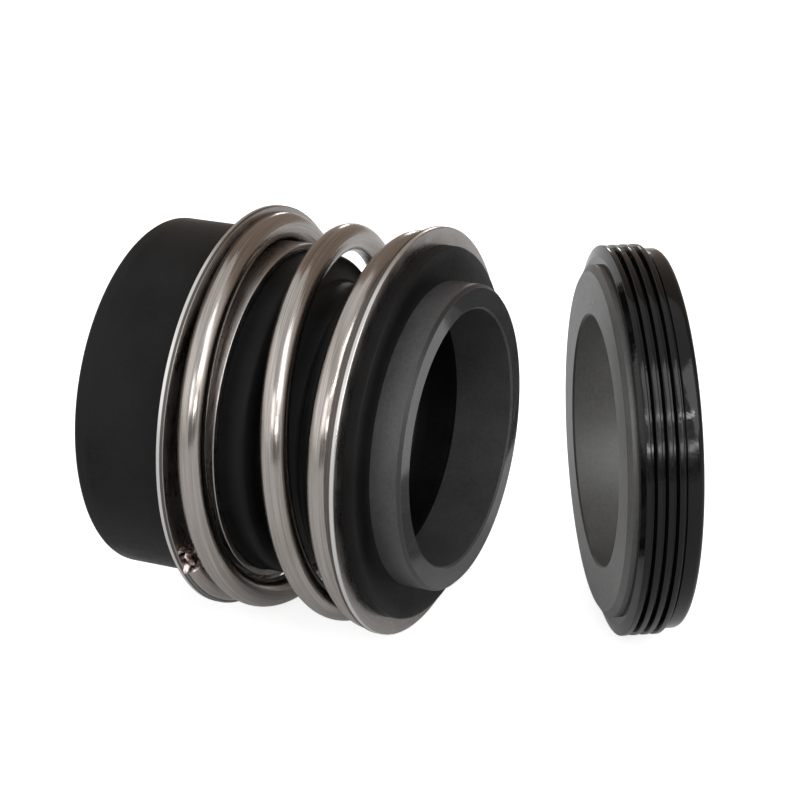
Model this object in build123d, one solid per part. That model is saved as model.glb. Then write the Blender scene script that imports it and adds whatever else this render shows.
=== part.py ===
from build123d import *
import math
import os

# A shaft seal set in two parts that stand side by side on a flat surface.
# The rotary head is a rubber bellows with a face ring, two pressed collars and one spring.
# The stationary seat is a face ring held in a ribbed rubber cup.
# Lengths are millimetres, X is the head's shaft axis towards its sealing face and +Z is up.
# The origin is the centre of the bellows' rear end.

# Shaft and bellows
shaft_radius = 12.5
tail_step = 1.75
tail_length = 11.1
tail_edge_round = 0.6
grip_behind_collar = 2.5
rear_wall = 2.3
rear_lobe_length = 7.7
waist_clearance = 0.3
waist_wall = 1.5
waist_length = 2.2
shoulder_slope = 1.6
shoulder_round = 1.9
waist_round = 0.8
throat_clearance = 1.4
pocket_wall = 0.96
lip_step = 2.5
lip_thickness = 1.35
lip_round = 0.35

# Pressed collars, one at each end of the spring
flange_width = 3.55
collar_sheet = 0.8
collar_leg_length = 4.6
collar_inner_bend = 0.2
collar_edge_round = 0.15
collar_span = 19.5

# Spring with closed ends, ground flat
wire_diameter = 2.9
coil_clearance = 0.25
coil_sag = 0.2
coil_waist = 0.28
coil_turns = 3.35
ground_tip_thickness = 1.1
tip_angle = 35.0
points_per_turn = 18

# The wire's pitch at stations along it, as (turn, pitch); it changes evenly between them
pitch_stations = [
    (0, 0.8),
    (0.45, 0.4),
    (0.68, 8.0),
    (0.85, 4.5),
    (1.0, 8.5),
    (1.3, 7.5),
    (1.85, 12.0),
    (2.15, 5.0),
    (2.45, 7.5),
    (2.6, 1.5),
    (2.8, 0.5),
    (3.0, 5.5),
    (coil_turns, 1.5),
]
waist_turns = (0.9, 2.75)
waist_blend = 0.6

# Rotating face ring
face_ring_clearance = 0.88
face_ring_wall = 2.52
face_ring_length = 6.43
nose_length = 3.2
nose_chamfer = 0.35
nose_bore_chamfer = 0.2

# Running clearance between the bellows and the pieces that travel with the face
rubber_clearance = 0.02

# Stationary seat
seat_clearance = 0.5
seat_ring_wall = 5.2
seat_ring_length = 6.0
seat_chamfer_width = 0.7
seat_chamfer_length = 0.45
seat_ring_proud = 1.0
seat_edge_chamfer = 0.2
cup_back_wall = 1.2
cup_back_lap = 3.6
cup_front_wall = 0.8
cup_band_wall = 1.45
cup_edge_round = 0.6
cup_rim_round = 0.3
ridge_valley_wall = 1.15
ridge_height = 0.8
ridge_count = 4
ridge_pitch = 1.08
ridge_land = 0.54
ridge_slope = 0.18
ridge_round = 0.12
first_ridge = 1.62
band_groove = 0.12

# Where the seat stands beside the head, and how far its axis is turned about Z
seat_gap = 11.74
seat_offset = 7.02
seat_turn = 30.7

# Radii of the head, from the shaft outwards
waist_bore = shaft_radius + waist_clearance
waist_radius = waist_bore + waist_wall
throat_radius = shaft_radius + throat_clearance
face_ring_bore = shaft_radius + face_ring_clearance
face_ring_radius = face_ring_bore + face_ring_wall
pocket_radius = face_ring_radius + rubber_clearance
head_radius = pocket_radius + pocket_wall
collar_leg_radius = head_radius + rubber_clearance
collar_leg_outside = collar_leg_radius + collar_sheet
rear_chamber = collar_leg_radius - rear_wall
tail_radius = collar_leg_radius + tail_step
lip_radius = collar_leg_radius + lip_step
flange_radius = collar_leg_outside + flange_width
coil_radius = collar_leg_outside + coil_clearance + wire_diameter / 2

# Radii of the seat
seat_bore = shaft_radius + seat_clearance
seat_ring_radius = seat_bore + seat_ring_wall
seat_face_radius = seat_ring_radius - seat_chamfer_width
cup_back_radius = seat_ring_radius - cup_back_lap
cup_front_radius = seat_ring_radius + cup_front_wall
cup_band_radius = seat_ring_radius + cup_band_wall
ridge_valley_radius = seat_ring_radius + ridge_valley_wall
ridge_radius = ridge_valley_radius + ridge_height
cup_length = seat_ring_length + cup_back_wall

# Places along the shaft axis, from the bellows' rear end
rear_flange_back = tail_length
rear_flange_front = rear_flange_back + collar_sheet
front_flange_front = rear_flange_back + collar_span
front_flange_back = front_flange_front - collar_sheet
lip_front = front_flange_front + lip_thickness
face_x = lip_front + nose_length
ring_back = face_x - face_ring_length
grip_end = rear_flange_back + grip_behind_collar
rear_lobe_end = rear_flange_back + rear_lobe_length
waist_start = rear_lobe_end + shoulder_slope
waist_end = waist_start + waist_length
head_start = waist_end + shoulder_slope
collar_outer_bend = collar_sheet + collar_inner_bend - collar_edge_round


def turned(corners):
    """A ring about the X axis: each corner is its place along X, its radius and its rounding."""
    path = FilletPolyline(
        *[(x, radius) for x, radius, _ in corners],
        radius=[rounding for _, _, rounding in corners],
        close=True,
    )
    return revolve(Plane.XZ * make_face(path), Axis.X)


def collar(flange_outer_face, towards_spring):
    """A pressed ring with its flange outwards and its leg reaching under the spring."""
    flange_inner_face = flange_outer_face + towards_spring * collar_sheet
    leg_end = flange_outer_face + towards_spring * collar_leg_length
    return turned([
        (flange_outer_face, flange_radius, collar_edge_round),
        (flange_outer_face, collar_leg_radius, collar_outer_bend),
        (leg_end, collar_leg_radius, collar_edge_round),
        (leg_end, collar_leg_outside, collar_edge_round),
        (flange_inner_face, collar_leg_outside, collar_inner_bend),
        (flange_inner_face, flange_radius, collar_edge_round),
    ])


def make_bellows():
    """One moulded rubber piece: the grip on the shaft, a thin fold, and the head with its lip."""
    return turned([
        (0, tail_radius, tail_edge_round),
        (rear_flange_back, tail_radius, lip_round),
        (rear_flange_back, collar_leg_radius, collar_outer_bend),
        (rear_lobe_end, collar_leg_radius, shoulder_round),
        (waist_start, waist_radius, waist_round),
        (waist_end, waist_radius, waist_round),
        (head_start, head_radius, shoulder_round),
        (front_flange_front, head_radius, collar_outer_bend),
        (front_flange_front, lip_radius, 0),
        (lip_front, lip_radius, lip_round),
        (lip_front, pocket_radius, 0),
        (ring_back, pocket_radius, 0),
        (ring_back, throat_radius, 0),
        (head_start, throat_radius, waist_round),
        (waist_end, waist_bore, waist_round),
        (waist_start, waist_bore, waist_round),
        (waist_start - shoulder_slope, rear_chamber, waist_round),
        (grip_end + shoulder_slope, rear_chamber, waist_round),
        (grip_end, shaft_radius, 0),
        (0, shaft_radius, 0),
    ])


def advance(turn):
    """How far the pitch carries the wire along the axis after so many turns."""
    total = 0
    for (start, start_pitch), (end, end_pitch) in zip(pitch_stations, pitch_stations[1:]):
        span = min(max(turn, start), end) - start
        slope = (end_pitch - start_pitch) / (end - start)
        total += start_pitch * span + slope * span ** 2 / 2
    return total


def waist(turn):
    """How much smaller the coil's radius is: nothing in the end coils, all of it between them."""
    waist_start_turn, waist_end_turn = waist_turns
    share = min(turn - waist_start_turn, waist_end_turn - turn) / waist_blend
    share = min(max(share, 0), 1)
    return coil_waist * share * share * (3 - 2 * share)


def coil_place(turn):
    """The wire's centre after so many turns; the coil hangs a little low on the collars."""
    wire_radius = wire_diameter / 2
    first = rear_flange_front + ground_tip_thickness - wire_radius
    last = front_flange_back - ground_tip_thickness + wire_radius
    radius = coil_radius - waist(turn)
    angle = math.radians(tip_angle + 360 * turn)
    return Vector(
        first + (last - first) * advance(turn) / advance(coil_turns),
        -radius * math.cos(angle),
        -radius * math.sin(angle) - coil_sag,
    )


def make_spring():
    """Round wire carried along the coil, then ground flat at both ends."""
    steps = round(coil_turns * points_per_turn)
    path = Spline(*[coil_place(coil_turns * step / steps) for step in range(steps + 1)])
    start = Plane(origin=path @ 0, z_dir=path % 0)
    wire = sweep(start * Circle(wire_diameter / 2), path=path)
    ground_length = front_flange_back - rear_flange_front
    middle = (front_flange_back + rear_flange_front) / 2
    outside = 2 * (coil_radius + wire_diameter)
    between_flanges = Pos(middle, 0, 0) * Box(ground_length, outside, outside)
    return wire & between_flanges


def make_face_ring():
    """The rotating face ring, seated in the bellows' pocket with its nose standing out."""
    return turned([
        (ring_back, face_ring_bore, 0),
        (ring_back, face_ring_radius, 0),
        (face_x - nose_chamfer, face_ring_radius, 0),
        (face_x, face_ring_radius - nose_chamfer, 0),
        (face_x, face_ring_bore + nose_bore_chamfer, 0),
        (face_x - nose_bore_chamfer, face_ring_bore, 0),
    ])


def make_seat_ring():
    """The stationary ring: its sealing face is at X zero until the seat is placed."""
    return turned([
        (0, seat_bore + seat_edge_chamfer, 0),
        (0, seat_face_radius, 0),
        (seat_chamfer_length, seat_ring_radius, 0),
        (seat_ring_length, seat_ring_radius, 0),
        (seat_ring_length, seat_bore + seat_edge_chamfer, 0),
        (seat_ring_length - seat_edge_chamfer, seat_bore, 0),
        (seat_edge_chamfer, seat_bore, 0),
    ])


def make_seat_cup():
    """The rubber cup round the seat ring, with its row of gripping ridges and a plain band."""
    ridges = []
    for number in range(ridge_count):
        crest = first_ridge + number * ridge_pitch
        half_land = ridge_land / 2
        ridges += [
            (crest - half_land - ridge_slope, ridge_valley_radius, 0),
            (crest - half_land, ridge_radius, ridge_round),
            (crest + half_land, ridge_radius, ridge_round),
            (crest + half_land + ridge_slope, ridge_valley_radius, 0),
        ]
    band_start = ridges[-1][0] + band_groove
    return turned([
        (seat_ring_proud, seat_ring_radius, 0),
        (seat_ring_proud, cup_front_radius, cup_rim_round),
        *ridges[1:],
        (band_start, ridge_valley_radius, 0),
        (band_start, cup_band_radius, ridge_round),
        (cup_length, cup_band_radius, cup_edge_round),
        (cup_length, cup_back_radius, lip_round),
        (seat_ring_length, cup_back_radius, 0),
        (seat_ring_length, seat_ring_radius, 0),
    ])


def beside_head(piece):
    """Stands a piece of the seat on the surface beside the head, turned to its own angle."""
    standing = Pos(face_x + seat_gap, seat_offset, ridge_radius - flange_radius)
    return standing * Rot(Z=seat_turn) * piece


pieces = {
    "bellows": make_bellows(),
    "rear_collar": collar(rear_flange_back, 1),
    "front_collar": collar(front_flange_front, -1),
    "spring": make_spring(),
    "face_ring": make_face_ring(),
    "seat_ring": beside_head(make_seat_ring()),
    "seat_cup": beside_head(make_seat_cup()),
}

os.makedirs("parts", exist_ok=True)
for node, piece in pieces.items():
    export_step(piece, f"parts/{node}.step")
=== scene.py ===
# %% [markdown]
# A shaft seal, drawn as surfaces of revolution and one coiled wire.
# The real thing is a set of two: a head that turns with a pump's shaft, and a ring that stands
# still in the pump's cover. Almost every piece of it is turned or moulded round one axis, so
# almost every piece here is a short list of corners, rounded and carried once round that axis.
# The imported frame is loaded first. It says where each piece belongs and what it moves with.

import bpy
import numpy as np
from mathutils import Matrix, Vector


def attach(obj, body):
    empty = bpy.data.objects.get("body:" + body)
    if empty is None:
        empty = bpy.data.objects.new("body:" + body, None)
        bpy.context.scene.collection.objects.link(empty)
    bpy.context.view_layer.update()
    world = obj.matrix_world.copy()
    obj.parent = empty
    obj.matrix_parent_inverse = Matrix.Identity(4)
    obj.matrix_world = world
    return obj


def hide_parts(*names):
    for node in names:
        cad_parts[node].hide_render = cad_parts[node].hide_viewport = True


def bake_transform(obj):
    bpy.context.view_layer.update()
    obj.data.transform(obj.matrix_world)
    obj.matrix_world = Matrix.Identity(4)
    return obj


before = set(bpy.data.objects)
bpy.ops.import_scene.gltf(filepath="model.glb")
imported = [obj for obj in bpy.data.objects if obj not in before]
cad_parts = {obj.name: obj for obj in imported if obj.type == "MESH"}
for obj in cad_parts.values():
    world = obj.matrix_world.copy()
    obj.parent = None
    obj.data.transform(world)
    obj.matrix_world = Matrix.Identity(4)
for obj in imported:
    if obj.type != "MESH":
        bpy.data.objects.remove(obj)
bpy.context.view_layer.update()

# %% [markdown]
# The camera comes next, because every later decision is checked through it.
# Its place and turn were worked out from the outlines of the rings in the photograph: an ellipse
# tells how far a circle is tilted, and two circles of known size tell how far away they are.
# The three directions below are the camera's own right, up and back, written in the part's frame.

# %% The camera
camera_right = Vector((0.9108, 0.4127, -0.0105))
camera_up = Vector((-0.1455, 0.3449, 0.9273))
camera_back = Vector((0.3863, -0.8431, 0.3742))
camera_place = Vector((0.12766, -0.21736, 0.0996))

camera_data = bpy.data.cameras.new("photo_camera")
camera_data.sensor_width = 36.0
camera_data.lens = 112.5
camera_data.clip_start = 0.01
camera_data.clip_end = 50.0
camera = bpy.data.objects.new("photo_camera", camera_data)
bpy.context.scene.collection.objects.link(camera)
turned_camera = Matrix((camera_right, camera_up, camera_back)).transposed().to_4x4()
camera.matrix_world = Matrix.Translation(camera_place) @ turned_camera
bpy.context.scene.camera = camera
bpy.context.scene.view_settings.view_transform = "Standard"
print("camera stands", round(1000 * camera_place.length), "mm from the origin")

# %% [markdown]
# These are the sizes that the pieces share, in millimetres, from the shaft outwards.
# X runs along the shaft from the rubber tail to the sealing face. A seal is a stack of thin
# shells, each one a hair larger than the one inside it, so each radius is built on the last.

# %% Sizes of the head
MM = 0.001
shaft_radius = 12.5
face_ring_bore = shaft_radius + 0.88
face_ring_radius = face_ring_bore + 2.52
pocket_radius = face_ring_radius + 0.02
head_radius = pocket_radius + 0.96
leg_radius = head_radius + 0.02
leg_outside = leg_radius + 0.8
flange_radius = leg_outside + 3.55
tail_radius = leg_radius + 1.75
lip_radius = leg_radius + 2.5
rear_flange = (11.1, 11.9)
front_flange = (29.8, 30.6)
lip_front = 31.95
face_x = 35.15
ring_back = 28.72
nose_chamfer = 0.35
bore_chamfer = 0.2
print("the head is", 2 * flange_radius, "mm across and", face_x, "mm long")

# %% Sizes of the seat
seat_bore = 13.0
seat_ring_radius = 18.2
seat_face_radius = 17.5
seat_ring_length = 6.0
cup_length = 7.2
cup_front_radius = 19.0
cup_band_radius = 19.65
cup_back_radius = 14.6
valley_radius = 19.35
ridge_radius = 20.15
seat_centre = np.array((46.89, 7.02, ridge_radius - flange_radius))
seat_turn = np.radians(30.7)
print("the seat is", 2 * ridge_radius, "mm across and", cup_length, "mm thick")

# %% [markdown]
# Real edges are never perfectly sharp, and the thin bright line on a rounded edge is what tells
# the eye that a thing is solid. A Bevel modifier could round them, but it treats all edges alike.
# Here each corner of a profile has its own radius, as on a workshop drawing, and its arc is
# worked out from the two lines that meet there.

# %% Rounding a profile
arc_steps = 7


def rounded(corners, spacing):
    """A closed profile from rows of (x, radius, rounding).

    For a corner of half angle h, the arc touches both lines at rounding / tan(h) from the corner
    and its centre lies at rounding / sin(h) along the line that halves the angle. Long runs are
    divided so that no step is longer than the spacing. The second result is 1 on every rounded
    or sharp corner and 0 on the runs between them.
    """
    corners = np.array(corners, float)
    places, rounding = corners[:, :2], corners[:, 2:]
    back = np.roll(places, 1, axis=0) - places
    on = np.roll(places, -1, axis=0) - places
    back /= np.linalg.norm(back, axis=1, keepdims=True)
    on /= np.linalg.norm(on, axis=1, keepdims=True)
    half = np.arccos(np.clip((back * on).sum(1, keepdims=True), -1, 1)) / 2
    middle = back + on
    middle /= np.maximum(np.linalg.norm(middle, axis=1, keepdims=True), 1e-9)
    centre = places + middle * rounding / np.sin(half)
    start = places + back * rounding / np.tan(half) - centre
    end = places + on * rounding / np.tan(half) - centre
    first = np.arctan2(start[:, 1], start[:, 0])
    swept = np.arctan2(end[:, 1], end[:, 0]) - first
    swept = (swept + np.pi) % (2 * np.pi) - np.pi
    share = np.linspace(0, 1, arc_steps)
    angle = first[:, None] + swept[:, None] * share
    arcs = centre[:, None] + rounding[:, :, None] * np.stack([np.cos(angle), np.sin(angle)], 2)
    used = (rounding > 0) | (share == 0)
    points = arcs[used]
    gaps = np.roll(points, -1, axis=0) - points
    pieces = np.maximum(np.ceil(np.linalg.norm(gaps, axis=1) / spacing).astype(int), 1)
    owner = np.repeat(np.arange(len(points)), pieces)
    step = np.arange(len(owner)) - np.repeat(np.cumsum(pieces) - pieces, pieces)
    fine = points[owner] + gaps[owner] * (step / pieces[owner])[:, None]
    return fine, (step == 0).astype(float)


sample, corner_marks = rounded([(0, 1, 0.2), (3, 1, 0.2), (3, 2, 0), (0, 2, 0)], 0.5)
on_corners = int(corner_marks.sum())
print("a sample profile has", len(sample), "points,", on_corners, "of them on corners")

# %% [markdown]
# Blender's Screw modifier or the Spin tool would carry a profile round an axis. Doing it with
# arrays gives the same rings of quads at once, keeps every vertex where the formula puts it, and
# lets each vertex remember numbers, here how close it is to an edge, that a material can read.

# %% Turning a profile into a mesh
smooth_angle = np.radians(32)


def put_mesh(name, points, faces, marks):
    """Makes a smooth shaded mesh object from points in mm, lists of faces and named numbers."""
    mesh = bpy.data.meshes.new(name)
    mesh.from_pydata((points * MM).tolist(), [], faces)
    mesh.polygons.foreach_set("use_smooth", np.ones(len(mesh.polygons), bool))
    for mark, values in marks.items():
        kind = "FLOAT_VECTOR" if values.ndim == 2 else "FLOAT"
        field = "vector" if values.ndim == 2 else "value"
        attribute = mesh.attributes.new(mark, kind, "POINT")
        attribute.data.foreach_set(field, values.astype(np.float32).ravel())
    mesh.update(calc_edges=True)
    mesh.set_sharp_from_angle(angle=smooth_angle)
    made = bpy.data.objects.new(name, mesh)
    bpy.context.scene.collection.objects.link(made)
    return made


def grid_faces(rows, columns, close_rows):
    """Quads between neighbours on a grid that closes on itself along its columns."""
    row = np.arange(rows if close_rows else rows - 1)[:, None]
    column = np.arange(columns)[None, :]
    next_row = (row + 1) % rows
    next_column = (column + 1) % columns
    corners = [
        row * columns + column,
        row * columns + next_column,
        next_row * columns + next_column,
        next_row * columns + column,
    ]
    return np.stack([np.broadcast_to(c, (len(row), columns)) for c in corners], 2).reshape(-1, 4)


def turned_piece(name, corners, spacing=1.2, around=240, moved=None):
    """A ring about X: each profile point (x, r) goes to (x, r cos a, r sin a) for a once round.

    The area inside the profile tells which way it runs, and so which way its faces look.
    """
    profile, edge = rounded(corners, spacing)
    angle = np.linspace(0, 2 * np.pi, around, endpoint=False)
    x = np.broadcast_to(profile[:, :1], (len(profile), around))
    radius = np.broadcast_to(profile[:, 1:], (len(profile), around))
    points = np.stack([x, radius * np.cos(angle), radius * np.sin(angle)], 2).reshape(-1, 3)
    faces = grid_faces(len(profile), around, True)
    area = np.sum(profile[:, 0] * np.roll(profile[:, 1], -1))
    area -= np.sum(np.roll(profile[:, 0], -1) * profile[:, 1])
    faces = faces if area < 0 else faces[:, ::-1]
    if moved is not None:
        points = moved(points)
    marks = {"edge": np.repeat(edge, around)}
    made = put_mesh(name, points, faces.tolist(), marks)
    print(name, "has", len(faces), "faces from a profile of", len(profile), "points")
    return made


# %% [markdown]
# The bellows is one moulding of black rubber. Its thick tail grips the shaft, a thin fold lets
# the front move, and its head is a pocket that holds the face ring and ends in a round lip.
# The profile below walks along the outside from the tail to the lip, and back through the bore.
# Soft rubber bulges: the fold's shoulders are a little steeper here than in the plain solid,
# because that is how the photograph shows them between the wires.

# %% The bellows
waist_rear_radius = 14.2
waist_front_radius = 14.1
waist_bore = 12.8
chamber_radius = 14.6
throat_radius = 13.9
bellows = turned_piece(
    "rubber_bellows",
    [
        (0, tail_radius, 0.6),
        (rear_flange[0], tail_radius, 0.35),
        (rear_flange[0], leg_radius, 0.85),
        (18.5, leg_radius, 0.9),
        (19.6, waist_rear_radius, 0.6),
        (23.2, waist_front_radius, 0.7),
        (24.7, head_radius, 1.1),
        (front_flange[1], head_radius, 0.85),
        (front_flange[1], lip_radius, 0),
        (lip_front, lip_radius, 0.35),
        (lip_front, pocket_radius, 0),
        (ring_back, pocket_radius, 0),
        (ring_back, throat_radius, 0),
        (24.2, throat_radius, 0.8),
        (22.6, waist_bore, 0.8),
        (19.6, waist_bore, 0.8),
        (18.0, chamber_radius, 0.8),
        (15.2, chamber_radius, 0.8),
        (13.6, shaft_radius, 0),
        (0, shaft_radius, 0),
    ],
)

# %% [markdown]
# The two collars are pressed from stainless sheet: a flange that the spring pushes on, and a leg
# under the spring. The outer bend is nearly the inner bend's radius plus the sheet's thickness,
# as it is on any pressing, and the cut edges are only lightly deburred.

# %% The collars
sheet = 0.8
leg_length = 4.6
inner_bend = 0.2
outer_bend = 0.85
deburred = 0.15


def collar(name, outer_face, inwards):
    """The L section of a collar: its flange's outer face is at outer_face, its leg inwards."""
    inner_face = outer_face + inwards * sheet
    leg_end = outer_face + inwards * leg_length
    return turned_piece(
        name,
        [
            (outer_face, flange_radius, deburred),
            (outer_face, leg_radius, outer_bend),
            (leg_end, leg_radius, deburred),
            (leg_end, leg_outside, deburred),
            (inner_face, leg_outside, inner_bend),
            (inner_face, flange_radius, deburred),
        ],
        around=320,
    )


rear_collar = collar("pressed_rear_collar", rear_flange[0], 1)
front_collar = collar("pressed_front_collar", front_flange[1], -1)

# %% [markdown]
# The spring is one round wire. Its first and last turns lie nearly closed against the flanges,
# and the turns between them climb. A helix of one pitch would miss that, so the pitch is given
# at a few stations along the wire and changes evenly between them. Adding it up gives the way
# along the axis. The middle turns are a shade smaller than the ends, as the photograph shows.

# %% The coil's path
wire_radius = 1.45
coil_radius = leg_outside + 0.25 + wire_radius
coil_turns = 3.35
coil_sag = 0.2
coil_waist = 0.28
waist_turns = (0.9, 2.75)
waist_blend = 0.6
ground_tip = 1.1
tip_angle = np.radians(35)
stations = np.array([0, 0.45, 0.68, 0.85, 1.0, 1.3, 1.85, 2.15, 2.45, 2.6, 2.8, 3.0, coil_turns])
pitches = np.array([0.8, 0.4, 8.0, 4.5, 8.5, 7.5, 12.0, 5.0, 7.5, 1.5, 0.5, 5.5, 1.5])


def advance(turn):
    """How far the wire has gone: the pitch is straight between stations, so trapezoids add up."""
    turn = np.asarray(turn, float)[..., None]
    start, end = stations[:-1], stations[1:]
    span = np.clip(turn, start, end) - start
    slope = (pitches[1:] - pitches[:-1]) / (end - start)
    return (pitches[:-1] * span + slope * span**2 / 2).sum(-1)


def coil_line(turn):
    """The wire's centre: x by the pitch, and a circle in y and z that hangs low by the sag.

    The radius is less by the waist between the end coils, eased in with 3 s s - 2 s s s.
    """
    first = rear_flange[1] + ground_tip - wire_radius
    last = front_flange[0] - ground_tip + wire_radius
    angle = tip_angle + 2 * np.pi * turn
    x = first + (last - first) * advance(turn) / advance(coil_turns)
    inside = np.minimum(turn - waist_turns[0], waist_turns[1] - turn) / waist_blend
    inside = np.clip(inside, 0, 1)
    radius = coil_radius - coil_waist * inside**2 * (3 - 2 * inside)
    return np.stack([x, -radius * np.cos(angle), -radius * np.sin(angle) - coil_sag], -1)


one_turn_on = coil_line(np.linspace(1, coil_turns, 200))
turns_apart = (one_turn_on - coil_line(np.linspace(0, coil_turns - 1, 200)))[:, 0]
print("neighbouring turns are at least", round(float(turns_apart.min()), 2), "mm apart")

# %% [markdown]
# A circle carried along that line makes the wire. A curve object with a bevel would do it too,
# but then the wire could not be ground flat at both ends, where it bears on the flanges, and it
# would carry no numbers for the drawing lines that run along it. Here every point beyond a
# flange's face is simply moved back onto it, which is just what grinding does. The front end is
# cut clean, and the rear end keeps the torn sliver that shears leave, as in the photograph.

# %% The spring
wire_rings = 900
wire_sides = 40
cap_rings = 8
tear_rings = 36
sliver_length = 3.7
cut_depth = 0.05


def cut_end(ring, middle, outwards, rough):
    """Closes the wire: rings that shrink to its middle, pushed in and out like a sheared cut."""
    share = np.linspace(1, 0, cap_rings + 1)[1:-1, None, None]
    side = np.linspace(0, 2 * np.pi, wire_sides, endpoint=False)[None, :, None]
    wave = np.sin(3 * side + 5 * share) * np.cos(2 * side - 7 * share)
    rings = middle + (ring - middle) * share + outwards * rough * (1 - share) * (0.6 + wave)
    return rings, middle + outwards * rough * 0.6


def torn_tip(ring, middle, outwards, reach):
    """The sliver that the shears leave: rings that run on past the end and crumple as they shrink.

    Each ring's size falls as (1 - share) to the power 0.45, and two waves round it fold it.
    """
    share = np.linspace(0, 1, tear_rings + 1)[1:-1, None, None]
    side = np.linspace(0, 2 * np.pi, wire_sides, endpoint=False)[None, :, None]
    folds = 0.34 * np.sin(2 * side + 8 * share) + 0.26 * np.sin(5 * side - 15 * share)
    size = (1 - share) ** 0.45 * (0.9 + folds * np.minimum(4 * share, 1))
    lean = np.array([0.45, -0.5, -0.1]) * share * (0.6 + np.sin(8 * share))
    rings = middle + outwards * reach * share + lean + (ring - middle) * size
    return rings, middle + outwards * reach


turn = np.linspace(0, coil_turns, wire_rings)
centre_line = coil_line(turn)
along = np.gradient(centre_line, axis=0)
along /= np.linalg.norm(along, axis=1, keepdims=True)
outward = (centre_line + (0, 0, coil_sag)) * (0, 1, 1)
outward -= along * (outward * along).sum(1, keepdims=True)
outward /= np.linalg.norm(outward, axis=1, keepdims=True)
across = np.cross(along, outward)
side = np.linspace(0, 2 * np.pi, wire_sides, endpoint=False)
round_wire = np.cos(side)[:, None] * outward[:, None] + np.sin(side)[:, None] * across[:, None]
wire = centre_line[:, None] + wire_radius * round_wire

tip_rings, tip_middle = torn_tip(wire[0], centre_line[0], -along[0], sliver_length)
tail_rings, tail_middle = cut_end(wire[-1], centre_line[-1], along[-1], cut_depth)
rings = np.concatenate([tip_rings[::-1], wire, tail_rings])
wire_points = np.concatenate([rings.reshape(-1, 3), [tip_middle, tail_middle]])
wire_points[:, 0] = np.clip(wire_points[:, 0], rear_flange[1], front_flange[0])
ring_count = len(rings)
wire_faces = grid_faces(ring_count, wire_sides, False)
ring_start = np.arange(wire_sides)
ring_next = (ring_start + 1) % wire_sides
tip_pole = np.full(wire_sides, ring_count * wire_sides)
tip_fan = np.stack([tip_pole, ring_next, ring_start], 1)
last_ring = (ring_count - 1) * wire_sides
tail_fan = np.stack([tip_pole + 1, last_ring + ring_start, last_ring + ring_next], 1)
wire_length = np.linalg.norm(np.diff(centre_line, axis=0), axis=1).sum()
ring_turn = np.concatenate([np.zeros(len(tip_rings)), turn, np.full(len(tail_rings), coil_turns)])
run = np.repeat(ring_turn / coil_turns * wire_length, wire_sides)
place = np.stack([run, np.tile(np.cos(side), ring_count), np.tile(np.sin(side), ring_count)], 1)
place = np.concatenate([place, [[0, 0, 0], [wire_length, 0, 0]]])
cut = np.zeros(len(wire_points))
cut[: len(tip_rings) * wire_sides] = 1
cut[(len(tip_rings) + wire_rings) * wire_sides :] = 1
spring = put_mesh(
    "wound_spring",
    wire_points,
    wire_faces.tolist() + tip_fan.tolist() + tail_fan.tolist(),
    {"wire_place": place, "cut": cut},
)
print("the wire is", round(wire_length), "mm long in", coil_turns, "turns")

# %% [markdown]
# The face ring is a plain ground ring of grey ceramic. Only its front edge is broken by a
# chamfer, because any chip there would let the pump leak.

# %% The face ring
face_ring = turned_piece(
    "ground_face_ring",
    [
        (ring_back, face_ring_bore, 0),
        (ring_back, face_ring_radius, 0),
        (face_x - nose_chamfer, face_ring_radius, 0),
        (face_x, face_ring_radius - nose_chamfer, 0),
        (face_x, face_ring_bore + bore_chamfer, 0),
        (face_x - bore_chamfer, face_ring_bore, 0),
    ],
    around=320,
)

# %% [markdown]
# The seat stands by itself on the table, turned a little from the head. Its two pieces are made
# on the head's axis like all the others and are then moved and turned as arrays of points, so
# that the finished objects still sit at the origin, untouched.

# %% Placing the seat


def beside_head(points):
    """Turns points about Z by the seat's angle and moves them to where the seat stands."""
    cosine, sine = np.cos(seat_turn), np.sin(seat_turn)
    turn_z = np.array([[cosine, sine, 0], [-sine, cosine, 0], [0, 0, 1]])
    return points @ turn_z + seat_centre


seat_ring = turned_piece(
    "ground_seat_ring",
    [
        (0, seat_bore + bore_chamfer, 0),
        (0, seat_face_radius, 0),
        (0.45, seat_ring_radius, 0),
        (seat_ring_length, seat_ring_radius, 0),
        (seat_ring_length, seat_bore + bore_chamfer, 0),
        (seat_ring_length - bore_chamfer, seat_bore, 0),
        (bore_chamfer, seat_bore, 0),
    ],
    around=320,
    moved=beside_head,
)

# %% [markdown]
# The cup is rubber again. Four ridges round it are squeezed when it is pushed into the pump and
# hold it there. The light that runs along their rounded tops is what shows them, so each ridge
# is four corners, with a radius on the two at its top.

# %% The seat's cup
first_ridge = 1.62
ridge_pitch = 1.08
half_foot = 0.45
half_top = 0.27
ridge_round = 0.12
ring_proud = 1.0
band_start = 5.43
ridge_corners = []
for ridge in range(4):
    crest = first_ridge + ridge_pitch * ridge
    ridge_corners += [
        (crest - half_foot, valley_radius, 0),
        (crest - half_top, ridge_radius, ridge_round),
        (crest + half_top, ridge_radius, ridge_round),
        (crest + half_foot, valley_radius, 0),
    ]
seat_cup = turned_piece(
    "rubber_seat_cup",
    [
        (ring_proud, seat_ring_radius, 0),
        (ring_proud, cup_front_radius, 0.3),
        *ridge_corners[1:],
        (band_start, valley_radius, 0),
        (band_start, cup_band_radius, ridge_round),
        (cup_length, cup_band_radius, 0.6),
        (cup_length, cup_back_radius, 0.35),
        (seat_ring_length, cup_back_radius, 0),
        (seat_ring_length, seat_ring_radius, 0),
    ],
    around=320,
    moved=beside_head,
)
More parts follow.
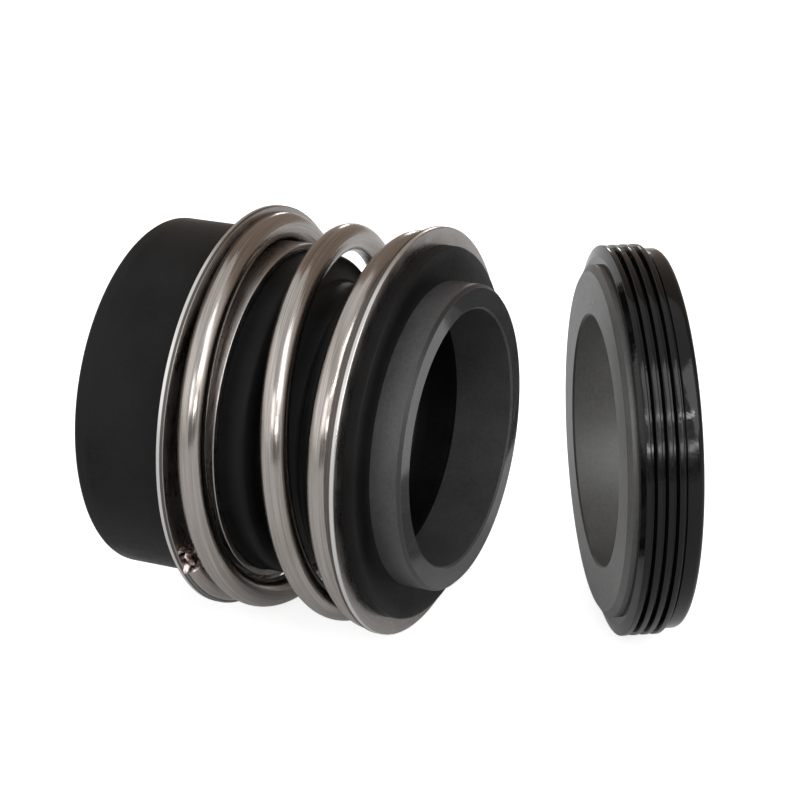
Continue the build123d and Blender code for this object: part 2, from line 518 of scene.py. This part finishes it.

# %% [markdown]
# The pieces now take their places in the frame. Five of them move with one body each. The
# bellows and the spring cross the joint between the turning body and the sliding face, so they
# are joined to no body, and their places are written into their own meshes.

# %% Joining the pieces to the bodies
fold_start = 15.7
fold_end = 26.0
for piece, body, node, finish in (
    (rear_collar, "rotary", "rear_collar", "collar_steel"),
    (front_collar, "face", "front_collar", "collar_steel"),
    (face_ring, "face", "face_ring", "face_ceramic"),
    (seat_ring, "seat", "seat_ring", "seat_ceramic"),
    (seat_cup, "seat", "seat_cup", "rubber"),
):
    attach(piece, body)
    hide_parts(node)
for piece, node, finish, start, end in (
    (bellows, "bellows", "rubber", fold_start, fold_end),
    (spring, "spring", "spring_steel", rear_flange[1], front_flange[0]),
):
    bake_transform(piece)
    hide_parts(node)
print("seven pieces ride in the frame")

# %% [markdown]
# Materials are trees of nodes. Small helpers keep them readable: they add a node and set or
# link its sockets, do a sum, stretch a range, mix two colours, and start a material or a group.

# %% Helpers for nodes


def add_node(tree, kind, sockets=None, **settings):
    """Adds a node, sets its settings, and gives each named socket a value or a link."""
    made = tree.nodes.new(kind)
    for name, value in settings.items():
        setattr(made, name, value)
    for name, value in (sockets or {}).items():
        if isinstance(value, bpy.types.NodeSocket):
            tree.links.new(value, made.inputs[name])
        else:
            made.inputs[name].default_value = value
    return made


def sum_node(tree, operation, first, second=0.0):
    """One step of arithmetic on two values."""
    return add_node(tree, "ShaderNodeMath", {0: first, 1: second}, operation=operation).outputs[0]


def remap(tree, value, low, high, new_low, new_high):
    """Stretches the range low to high onto new_low to new_high, and clamps it."""
    sockets = {"Value": value, 1: low, 2: high, 3: new_low, 4: new_high}
    return add_node(tree, "ShaderNodeMapRange", sockets).outputs["Result"]


def mix_colour(tree, share, first, second):
    """The first colour where share is 0 and the second where it is 1."""
    sockets = {0: share, 6: first, 7: second}
    return add_node(tree, "ShaderNodeMix", sockets, data_type="RGBA").outputs[2]


def new_material(name):
    """An empty material with its Principled shader joined to the output."""
    material = bpy.data.materials.new(name)
    material.use_nodes = True
    tree = material.node_tree
    tree.nodes.clear()
    shader = add_node(tree, "ShaderNodeBsdfPrincipled")
    add_node(tree, "ShaderNodeOutputMaterial", {"Surface": shader.outputs[0]})
    return material, tree, shader


def new_group(name, inputs, outputs):
    """A node group with named sockets, given as (name, kind) pairs."""
    group = bpy.data.node_groups.new(name, "ShaderNodeTree")
    for label, kind in inputs:
        group.interface.new_socket(label, in_out="INPUT", socket_type=kind)
    for label, kind in outputs:
        group.interface.new_socket(label, in_out="OUTPUT", socket_type=kind)
    return group, group.nodes.new("NodeGroupInput"), group.nodes.new("NodeGroupOutput")


FLOAT, COLOUR, VECTOR = "NodeSocketFloat", "NodeSocketColor", "NodeSocketVector"

# %% [markdown]
# Every round piece needs to know where a point is on its own ring: how far along the axis, how
# far out, and in which direction. The group below works that out from Object coordinates. The
# direction is kept as a cosine and a sine and not as an angle, so nothing has a seam where the
# angle would jump from one full turn back to zero.

# %% A group for places on a ring
ring_group, ring_in, ring_out = new_group(
    "place_on_ring",
    [("Place", VECTOR)],
    [("Along", FLOAT), ("Radius", FLOAT), ("Direction", VECTOR)],
)
parts = add_node(ring_group, "ShaderNodeSeparateXYZ", {0: ring_in.outputs["Place"]})
flat_sockets = {"Y": parts.outputs["Y"], "Z": parts.outputs["Z"]}
flat = add_node(ring_group, "ShaderNodeCombineXYZ", flat_sockets)
length = add_node(ring_group, "ShaderNodeVectorMath", {0: flat.outputs[0]}, operation="LENGTH")
unit = add_node(ring_group, "ShaderNodeVectorMath", {0: flat.outputs[0]}, operation="NORMALIZE")
ring_group.links.new(parts.outputs["X"], ring_out.inputs["Along"])
ring_group.links.new(length.outputs["Value"], ring_out.inputs["Radius"])
ring_group.links.new(unit.outputs["Vector"], ring_out.inputs["Direction"])
print("place_on_ring puts out", [socket.name for socket in ring_out.inputs][:3])

# %% [markdown]
# Turning, grinding and polishing all leave fine lines that run round a piece. Noise gives them
# when it is stretched: it changes quickly across the lines and slowly round them. It is read in
# four dimensions here, two across the lines and two for the direction round the ring.

# %% A group for lines round a ring
lines_group, lines_in, lines_out = new_group(
    "lines_round_a_ring",
    [("Place", VECTOR), ("Fineness", FLOAT), ("Length", FLOAT)],
    [("Line", FLOAT), ("Height", FLOAT)],
)
where = add_node(lines_group, "ShaderNodeGroup", node_tree=ring_group)
lines_group.links.new(lines_in.outputs["Place"], where.inputs["Place"])
fineness = lines_in.outputs["Fineness"]
across_line = sum_node(lines_group, "MULTIPLY", where.outputs["Along"], fineness)
radial_line = sum_node(lines_group, "MULTIPLY", where.outputs["Radius"], fineness)
round_line = add_node(
    lines_group,
    "ShaderNodeVectorMath",
    {0: where.outputs["Direction"], "Scale": lines_in.outputs["Length"]},
    operation="SCALE",
)
lift = add_node(lines_group, "ShaderNodeCombineXYZ", {"X": across_line})
placed = add_node(
    lines_group,
    "ShaderNodeVectorMath",
    {0: round_line.outputs[0], 1: lift.outputs[0]},
    operation="ADD",
)
line_noise = add_node(
    lines_group,
    "ShaderNodeTexNoise",
    {"Vector": placed.outputs[0], "W": radial_line, "Scale": 1.0, "Detail": 3.0, "Roughness": 0.6},
    noise_dimensions="4D",
)
line = remap(lines_group, line_noise.outputs[0], 0.3, 0.7, 0, 1)
lines_group.links.new(line, lines_out.inputs["Line"])
lines_group.links.new(line_noise.outputs[0], lines_out.inputs["Height"])

# %% [markdown]
# Black rubber is never simply black. Its skin copies the mould, so it has a fine grain, slow
# changes in gloss where it cooled, and paler edges where it has been handled. The group takes
# two tones and puts out a colour, a roughness and a height, and both rubbers use it.

# %% A group for rubber skin
skin_group, skin_in, skin_out = new_group(
    "moulded_rubber_skin",
    [
        ("Place", VECTOR),
        ("Edge", FLOAT),
        ("Deep", COLOUR),
        ("Rubbed", COLOUR),
        ("Gloss", FLOAT),
        ("Grain", FLOAT),
    ],
    [("Colour", COLOUR), ("Roughness", FLOAT), ("Height", FLOAT)],
)
skin_place = skin_in.outputs["Place"]
slow_sockets = {"Vector": skin_place, "Scale": 140.0, "Detail": 3.0}
slow = add_node(skin_group, "ShaderNodeTexNoise", slow_sockets)
grain_sockets = {"Vector": skin_place, "Scale": skin_in.outputs["Grain"], "Detail": 2.0}
grain = add_node(skin_group, "ShaderNodeTexNoise", grain_sockets)
cloud = remap(skin_group, slow.outputs[0], 0.35, 0.65, 0, 1)
speck = remap(skin_group, grain.outputs[0], 0.3, 0.7, 0, 1)
handled = sum_node(skin_group, "MULTIPLY", skin_in.outputs["Edge"], 0.55)
rub = sum_node(skin_group, "ADD", sum_node(skin_group, "MULTIPLY", cloud, 0.3), handled)
rub = sum_node(skin_group, "ADD", rub, sum_node(skin_group, "MULTIPLY", speck, 0.15))
skin_colour = mix_colour(skin_group, rub, skin_in.outputs["Deep"], skin_in.outputs["Rubbed"])
wander = remap(skin_group, slow.outputs[0], 0.35, 0.65, -0.06, 0.08)
flicker = remap(skin_group, grain.outputs[0], 0.3, 0.7, -0.05, 0.05)
wander = sum_node(skin_group, "ADD", wander, flicker)
skin_rough = sum_node(skin_group, "ADD", skin_in.outputs["Gloss"], wander)
skin_group.links.new(skin_colour, skin_out.inputs["Colour"])
skin_group.links.new(skin_rough, skin_out.inputs["Roughness"])
skin_group.links.new(grain.outputs[0], skin_out.inputs["Height"])
print("the rubber skin group has", len(skin_group.nodes), "nodes")

# %% [markdown]
# The two rubbers share that group and differ in tone and gloss. The bellows is satin, and its
# colour is paler along its tail. The seat's cup, which leaves its mould shinier,
# shows hard bright glints. The cup's pattern is centred on the cup with a Mapping node, which
# undoes the way the seat was turned and moved.

# %% Rubber


def ring_coordinates(tree, standing_seat=False):
    """Object coordinates, centred and turned back to the seat's own axis where needed."""
    place = add_node(tree, "ShaderNodeTexCoord").outputs["Object"]
    if not standing_seat:
        return place
    sockets = {"Vector": place, "Location": seat_centre * MM, "Rotation": (0, 0, seat_turn)}
    return add_node(tree, "ShaderNodeMapping", sockets, vector_type="TEXTURE").outputs[0]


def rubber(name, deep, rubbed, gloss, grain_scale, shine, pale_tail_end, standing_seat=False):
    """Moulded rubber: a dark body, a weak gloss of its own skin, and a fine grain.

    Up to x = pale_tail_end in mm the skin is paler. An end below zero leaves no part paler.
    """
    material, tree, shader = new_material(name)
    edge = add_node(tree, "ShaderNodeAttribute", attribute_name="edge").outputs["Fac"]
    place = ring_coordinates(tree, standing_seat)
    along = add_node(tree, "ShaderNodeSeparateXYZ", {0: place}).outputs["X"]
    # The skin is paler along the tail, up to the given end.
    paler_tail = remap(tree, along, pale_tail_end * MM, (pale_tail_end + 1.0) * MM, 1.1, 0)
    skin = add_node(tree, "ShaderNodeGroup", node_tree=skin_group)
    tree.links.new(place, skin.inputs["Place"])
    tree.links.new(sum_node(tree, "ADD", edge, paler_tail), skin.inputs["Edge"])
    skin.inputs["Deep"].default_value = (*deep, 1)
    skin.inputs["Rubbed"].default_value = (*rubbed, 1)
    skin.inputs["Gloss"].default_value = gloss
    skin.inputs["Grain"].default_value = grain_scale
    sockets = {"Height": skin.outputs["Height"], "Strength": 0.35, "Distance": 0.00003}
    bump = add_node(tree, "ShaderNodeBump", sockets)
    tree.links.new(skin.outputs["Colour"], shader.inputs["Base Color"])
    tree.links.new(skin.outputs["Roughness"], shader.inputs["Roughness"])
    tree.links.new(bump.outputs[0], shader.inputs["Normal"])
    shader.inputs["Specular IOR Level"].default_value = shine
    return material


satin_rubber = rubber(
    "satin_bellows_rubber",
    deep=(0.002, 0.002, 0.0022),
    rubbed=(0.0165, 0.016, 0.016),
    gloss=0.4,
    grain_scale=2600.0,
    shine=0.065,
    pale_tail_end=11.0,
)
glossy_rubber = rubber(
    "glossy_cup_rubber",
    deep=(0.0016, 0.0016, 0.0018),
    rubbed=(0.005, 0.005, 0.005),
    gloss=0.1,
    grain_scale=2200.0,
    shine=0.22,
    pale_tail_end=-2.0,
    standing_seat=True,
)
bellows.data.materials.append(satin_rubber)
seat_cup.data.materials.append(glossy_rubber)

# %% [markdown]
# Pressed stainless sheet is bright but not a mirror. Its colour comes almost only from what it
# reflects, so the work is in its roughness and in the fine polishing lines that run round it.
# A blanked edge has two bands: the punch burnishes the first part of the sheet, and the rest
# tears off dark and rough. The rims of both flanges show them as a bright line and a dark one.

# %% Collar steel
burnished = (0.38, 0.46)


def collar_steel(name):
    """Metal whose roughness and height follow fine lines round the collar."""
    material, tree, shader = new_material(name)
    place = ring_coordinates(tree)
    lines = add_node(tree, "ShaderNodeGroup", node_tree=lines_group)
    tree.links.new(place, lines.inputs["Place"])
    lines.inputs["Fineness"].default_value = 7000.0
    lines.inputs["Length"].default_value = 5.0
    edge = add_node(tree, "ShaderNodeAttribute", attribute_name="edge").outputs["Fac"]
    worn = add_node(tree, "ShaderNodeTexNoise", {"Vector": place, "Scale": 260.0, "Detail": 4.0})
    tone = sum_node(tree, "MULTIPLY", lines.outputs["Line"], 0.6)
    tone = sum_node(tree, "ADD", tone, sum_node(tree, "MULTIPLY", edge, 0.4))
    colour = mix_colour(tree, tone, (0.26, 0.239, 0.228, 1), (0.39, 0.367, 0.355, 1))
    where = add_node(tree, "ShaderNodeGroup", node_tree=ring_group)
    tree.links.new(place, where.inputs["Place"])
    radius, along = where.outputs["Radius"], where.outputs["Along"]
    begins, ends = burnished
    rear, front = rear_flange[0], front_flange[1]
    on_rim = remap(tree, radius, (flange_radius - 0.06) * MM, (flange_radius - 0.02) * MM, 0, 1)
    torn = remap(tree, along, (rear + begins) * MM, (rear + ends) * MM, 0, 1)
    front_torn = remap(tree, along, (front - ends) * MM, (front - begins) * MM, 1, 0)
    torn = sum_node(tree, "MULTIPLY", sum_node(tree, "MULTIPLY", torn, front_torn), on_rim)
    colour = mix_colour(tree, on_rim, colour, (0.6, 0.585, 0.57, 1))
    colour = mix_colour(tree, torn, colour, (0.1, 0.094, 0.088, 1))
    rough = remap(tree, lines.outputs["Line"], 0, 1, 0.2, 0.32)
    rough = sum_node(tree, "ADD", rough, remap(tree, worn.outputs[0], 0.4, 0.7, 0, 0.12))
    rough = sum_node(tree, "ADD", rough, sum_node(tree, "MULTIPLY", torn, 0.2))
    sockets = {"Height": lines.outputs["Height"], "Strength": 0.25, "Distance": 0.00002}
    bump = add_node(tree, "ShaderNodeBump", sockets)
    tree.links.new(colour, shader.inputs["Base Color"])
    tree.links.new(rough, shader.inputs["Roughness"])
    tree.links.new(bump.outputs[0], shader.inputs["Normal"])
    shader.inputs["Metallic"].default_value = 1.0
    return material


steel_sheet = collar_steel("pressed_stainless_sheet")
rear_collar.data.materials.append(steel_sheet)
front_collar.data.materials.append(steel_sheet)

# %% [markdown]
# Spring wire is pulled through a die, which draws fine lines along it. A pattern in Object
# coordinates would cut across the coil, so the wire's own numbers are used: each vertex knows
# how far along the wire it is and on which side. The torn end is speckled instead, dark brown
# and bright, as freshly broken metal is, by a noise in Object coordinates.

# %% Spring wire


def drawn_wire(name):
    """Metal with lines along the wire, and a rough warm cut where the attribute says so."""
    material, tree, shader = new_material(name)
    place = add_node(tree, "ShaderNodeAttribute", attribute_name="wire_place").outputs["Vector"]
    cut_mark = add_node(tree, "ShaderNodeAttribute", attribute_name="cut").outputs["Fac"]
    stretched = {"Vector": place, "Scale": (0.05, 7.0, 7.0)}
    drawn = add_node(tree, "ShaderNodeMapping", stretched, vector_type="POINT").outputs[0]
    fine = add_node(tree, "ShaderNodeTexNoise", {"Vector": drawn, "Scale": 1.6, "Detail": 5.0})
    fine.inputs["Roughness"].default_value = 0.65
    patchy = {"Vector": place, "Scale": (0.12, 1.2, 1.2)}
    patch = add_node(tree, "ShaderNodeMapping", patchy, vector_type="POINT").outputs[0]
    stain = add_node(tree, "ShaderNodeTexNoise", {"Vector": patch, "Scale": 1.0, "Detail": 3.0})
    line = remap(tree, fine.outputs[0], 0.35, 0.65, 0, 1)
    colour = mix_colour(tree, line, (0.275, 0.247, 0.228, 1), (0.43, 0.4, 0.378, 1))
    brown = remap(tree, stain.outputs[0], 0.5, 0.75, 0, 0.45)
    colour = mix_colour(tree, brown, colour, (0.22, 0.185, 0.152, 1))
    body = add_node(tree, "ShaderNodeTexCoord").outputs["Object"]
    flake = add_node(tree, "ShaderNodeTexNoise", {"Vector": body, "Scale": 1300.0, "Detail": 3.0})
    flaked = remap(tree, flake.outputs[0], 0.42, 0.58, 0, 1)
    cut_colour = mix_colour(tree, flaked, (0.09, 0.06, 0.055, 1), (0.62, 0.53, 0.5, 1))
    colour = mix_colour(tree, cut_mark, colour, cut_colour)
    rough = remap(tree, fine.outputs[0], 0.35, 0.65, 0.13, 0.24)
    rough = sum_node(tree, "ADD", rough, sum_node(tree, "MULTIPLY", cut_mark, 0.15))
    sockets = {"Height": fine.outputs[0], "Strength": 0.3, "Distance": 0.00004}
    bump = add_node(tree, "ShaderNodeBump", sockets)
    tree.links.new(colour, shader.inputs["Base Color"])
    tree.links.new(rough, shader.inputs["Roughness"])
    tree.links.new(bump.outputs[0], shader.inputs["Normal"])
    shader.inputs["Metallic"].default_value = 1.0
    return material


spring.data.materials.append(drawn_wire("drawn_stainless_wire"))

# %% [markdown]
# Both rings are ground all over, which leaves them satin, and then lapped on the one flat face
# that seals, until it is flat and bright. One material does both: a mask is 1 only on the
# sealing face, found from how far along the axis a point is, and it takes the roughness down
# there. The face ring's outer chamfer is painted almost black, as painted shade.

# %% Ground ceramic
chamfer_from = 14.8
chamfer_whole = 15.2


def ceramic(name, dark, light, face_place, polish, chamfer=None, standing_seat=False):
    """Grey ceramic with grinding lines and a fine speckle, lapped at face_place in mm.

    The chamfered edge beside the face, as wide as the chamfer, is painted darker, as painted
    shade, if there is one.
    """
    material, tree, shader = new_material(name)
    place = ring_coordinates(tree, standing_seat)
    where = add_node(tree, "ShaderNodeGroup", node_tree=ring_group)
    tree.links.new(place, where.inputs["Place"])
    lines = add_node(tree, "ShaderNodeGroup", node_tree=lines_group)
    tree.links.new(place, lines.inputs["Place"])
    lines.inputs["Fineness"].default_value = 4500.0
    lines.inputs["Length"].default_value = 9.0
    fine, slow = {"Scale": 3200.0, "Detail": 2.0}, {"Scale": 170.0, "Detail": 3.0}
    speckle = add_node(tree, "ShaderNodeTexNoise", {"Vector": place, **fine})
    cloud = add_node(tree, "ShaderNodeTexNoise", {"Vector": place, **slow})
    tone = sum_node(tree, "MULTIPLY", remap(tree, speckle.outputs[0], 0.3, 0.7, 0, 1), 0.4)
    tone = sum_node(tree, "ADD", tone, sum_node(tree, "MULTIPLY", lines.outputs["Line"], 0.25))
    tone = sum_node(tree, "ADD", tone, remap(tree, cloud.outputs[0], 0.35, 0.65, 0, 0.35))
    colour = mix_colour(tree, tone, (*dark, 1), (*light, 1))
    away = sum_node(tree, "SUBTRACT", where.outputs["Along"], face_place * MM)
    away = sum_node(tree, "ABSOLUTE", away)
    lapped = remap(tree, away, 0.00001, 0.00003, 1, 0)
    ground = remap(tree, lines.outputs["Line"], 0, 1, 0.38, 0.48)
    if chamfer is not None:
        beside = remap(tree, away, (chamfer - 0.02) * MM, chamfer * MM, 1, 0)
        beside = sum_node(tree, "SUBTRACT", beside, lapped)
        outer = remap(tree, where.outputs["Radius"], chamfer_from * MM, chamfer_whole * MM, 0, 1)
        # Painted shade: the outer chamfer beside the face is painted nearly black.
        broken = sum_node(tree, "MULTIPLY", sum_node(tree, "MULTIPLY", beside, outer), 0.85)
        colour = mix_colour(tree, broken, colour, (0.004, 0.004, 0.004, 1))
    shine = sum_node(tree, "SUBTRACT", 1.0, sum_node(tree, "MULTIPLY", lapped, polish))
    rough = sum_node(tree, "MULTIPLY", ground, shine)
    unlapped = sum_node(tree, "SUBTRACT", 1.0, lapped)
    depth = sum_node(tree, "MULTIPLY", lines.outputs["Height"], unlapped)
    sockets = {"Height": depth, "Strength": 0.2, "Distance": 0.00003}
    bump = add_node(tree, "ShaderNodeBump", sockets)
    tree.links.new(colour, shader.inputs["Base Color"])
    tree.links.new(rough, shader.inputs["Roughness"])
    tree.links.new(bump.outputs[0], shader.inputs["Normal"])
    shader.inputs["IOR"].default_value = 1.55
    return material


face_ceramic = ceramic(
    "ground_face_ceramic",
    dark=(0.034, 0.034, 0.035),
    light=(0.074, 0.074, 0.075),
    face_place=face_x,
    polish=0.8,
    chamfer=nose_chamfer,
)
seat_ceramic = ceramic(
    "ground_seat_ceramic",
    dark=(0.047, 0.046, 0.045),
    light=(0.093, 0.09, 0.087),
    face_place=0.0,
    polish=0.3,
    standing_seat=True,
)
face_ring.data.materials.append(face_ceramic)
seat_ring.data.materials.append(seat_ceramic)

# %% [markdown]
# The photograph has a plain white ground. A wide floor takes the shadows, and Light Path makes
# it and the world white for rays that come from the camera. Reflections see the same white world
# and a much weaker glow of the floor. The light on the object itself stays at a plain level. The
# world isn't sampled as a lamp, so that the cards further down can hide it from reflections.

# %% The floor and the world
floor_height = -flange_radius
floor_reach = 3000.0
floor_mesh = bpy.data.meshes.new("pale_floor")
floor_corners = np.array([(-1, -1, 0), (1, -1, 0), (1, 1, 0), (-1, 1, 0)]) * floor_reach
floor_mesh.from_pydata(((floor_corners + (0, 0, floor_height)) * MM).tolist(), [], [(0, 1, 2, 3)])
floor = bpy.data.objects.new("pale_floor", floor_mesh)
bpy.context.scene.collection.objects.link(floor)


def background_rays(tree):
    """Two masks: rays from the camera, and rays that see by reflection or through glass."""
    path = add_node(tree, "ShaderNodeLightPath").outputs
    mirrored = sum_node(tree, "MAXIMUM", path["Is Glossy Ray"], path["Is Transmission Ray"])
    return path["Is Camera Ray"], mirrored


floor_material, tree, shader = new_material("pale_floor_paper")
shader.inputs["Base Color"].default_value = (0.8, 0.8, 0.8, 1)
shader.inputs["Roughness"].default_value = 0.9
shader.inputs["Specular IOR Level"].default_value = 0.0
shader.inputs["Emission Color"].default_value = (1, 1, 1, 1)
straight, mirrored = background_rays(tree)
glow = sum_node(tree, "MULTIPLY", straight, 0.8)
glow = sum_node(tree, "ADD", glow, sum_node(tree, "MULTIPLY", mirrored, 0.12))
tree.links.new(glow, shader.inputs["Emission Strength"])
floor_mesh.materials.append(floor_material)

world = bpy.data.worlds.new("studio")
world.use_nodes = True
tree = world.node_tree
tree.nodes.clear()
fill = 0.6
strength = remap(tree, sum_node(tree, "MAXIMUM", *background_rays(tree)), 0, 1, fill, 1.0)
sky = add_node(tree, "ShaderNodeBackground", {"Color": (1, 1, 1, 1), "Strength": strength})
add_node(tree, "ShaderNodeOutputWorld", {"Surface": sky.outputs[0]})
bpy.context.scene.world = world
world.cycles.sampling_method = "NONE"

# %% [markdown]
# The bright lines on the wire are the shapes of the lamps. Each streak gives away where its lamp
# stood: halfway between the view and the lamp is the way the metal faces there. So the lamps
# are soft boxes placed by direction, with azimuth 0 in front and counted to the right, and each
# is as strong as its brightness in a mirror. The tall one makes the long lines down the coil,
# and the thin one behind makes the small glints on the crowns of the wire.

# %% The lamps
aim = Vector((0.02, 0, 0))


def soft_box(name, azimuth, elevation, distance, width, height, brightness):
    """A rectangular lamp that faces the object; its power is brightness times area times pi."""
    data = bpy.data.lights.new(name, "AREA")
    data.shape = "RECTANGLE"
    data.size, data.size_y = width, height
    data.energy = brightness * width * height * np.pi
    lamp = bpy.data.objects.new(name, data)
    bpy.context.scene.collection.objects.link(lamp)
    side, up = np.radians(azimuth), np.radians(elevation)
    towards = Vector((np.sin(side) * np.cos(up), -np.cos(side) * np.cos(up), np.sin(up)))
    lamp.location = aim + towards * distance
    lamp.rotation_euler = (-towards).to_track_quat("-Z", "Y").to_euler()
    lamp.visible_camera = False
    print(name, "at", azimuth, "and", elevation, "degrees, power", round(data.energy, 2))
    return lamp


soft_box("tall_box_right", 62, 41, 0.7, 0.29, 0.5, 3.3)
soft_box("small_box_front", 9, 26, 0.7, 0.24, 0.24, 3.0)
soft_box("wide_box_left", -52, 26, 0.7, 0.8, 0.5, 0.45)
soft_box("thin_box_behind", -160, 9, 0.7, 0.04, 0.09, 10.0)

# %% [markdown]
# White surroundings alone leave metal flat. Photographers stand dark cards round it, and the
# dark flanks of the wire in the photograph show where the room was dark: behind, at the far
# right, and low in front under the lamps. Each card is a patch of a large ball round the object.
# Only reflections see it, so it casts no shadow and takes no light away. Two narrow bright
# strips, one of them in front of the low card, stand for the window panes that draw two rows
# of small glints across the cup's ridges.

# %% The cards
card_columns = 33
card_rows = 17
dark_distance = 1.2
bright_distance = 1.1


def card(name, azimuths, elevations, tone, distance):
    """A patch of a ball: x = sin a cos e, y = -cos a cos e, z = sin e, times the distance."""
    side, up = np.meshgrid(
        np.radians(np.linspace(*azimuths, card_columns)),
        np.radians(np.linspace(*elevations, card_rows)),
        indexing="ij",
    )
    ball = np.stack([np.sin(side) * np.cos(up), -np.cos(side) * np.cos(up), np.sin(up)], 2)
    points = ball.reshape(-1, 3) * distance + np.array(aim)
    column = np.arange(card_columns - 1)[:, None]
    row = np.arange(card_rows - 1)[None, :]
    cell = column * card_rows + row
    corners = [cell, cell + 1, cell + card_rows + 1, cell + card_rows]
    faces = np.stack(corners, 2).reshape(-1, 4)
    mesh = bpy.data.meshes.new(name)
    mesh.from_pydata(points.tolist(), [], faces.tolist())
    material, tree, shader = new_material(name + "_paper")
    shader.inputs["Base Color"].default_value = (0, 0, 0, 1)
    shader.inputs["Specular IOR Level"].default_value = 0.0
    shader.inputs["Emission Color"].default_value = (*tone, 1)
    shader.inputs["Emission Strength"].default_value = 1.0
    mesh.materials.append(material)
    made = bpy.data.objects.new(name, mesh)
    bpy.context.scene.collection.objects.link(made)
    made.visible_camera = False
    made.visible_diffuse = False
    made.visible_transmission = False
    made.visible_shadow = False
    print(name, "spans", azimuths, "by", elevations, "degrees")


card("dark_card_behind", (112, 238), (-1, 66), (0.38, 0.31, 0.26), dark_distance)
card("dark_card_right", (90, 112), (-1, 60), (0.78, 0.73, 0.69), dark_distance)
card("dark_card_low_front", (4, 68), (-1, 18), (0.27, 0.26, 0.25), dark_distance)
card("bright_strip_low", (36, 53), (14.5, 17.5), (20.0, 20.0, 20.0), bright_distance)
card("bright_strip_high", (36, 53), (32.5, 35), (18.0, 18.0, 18.0), bright_distance)
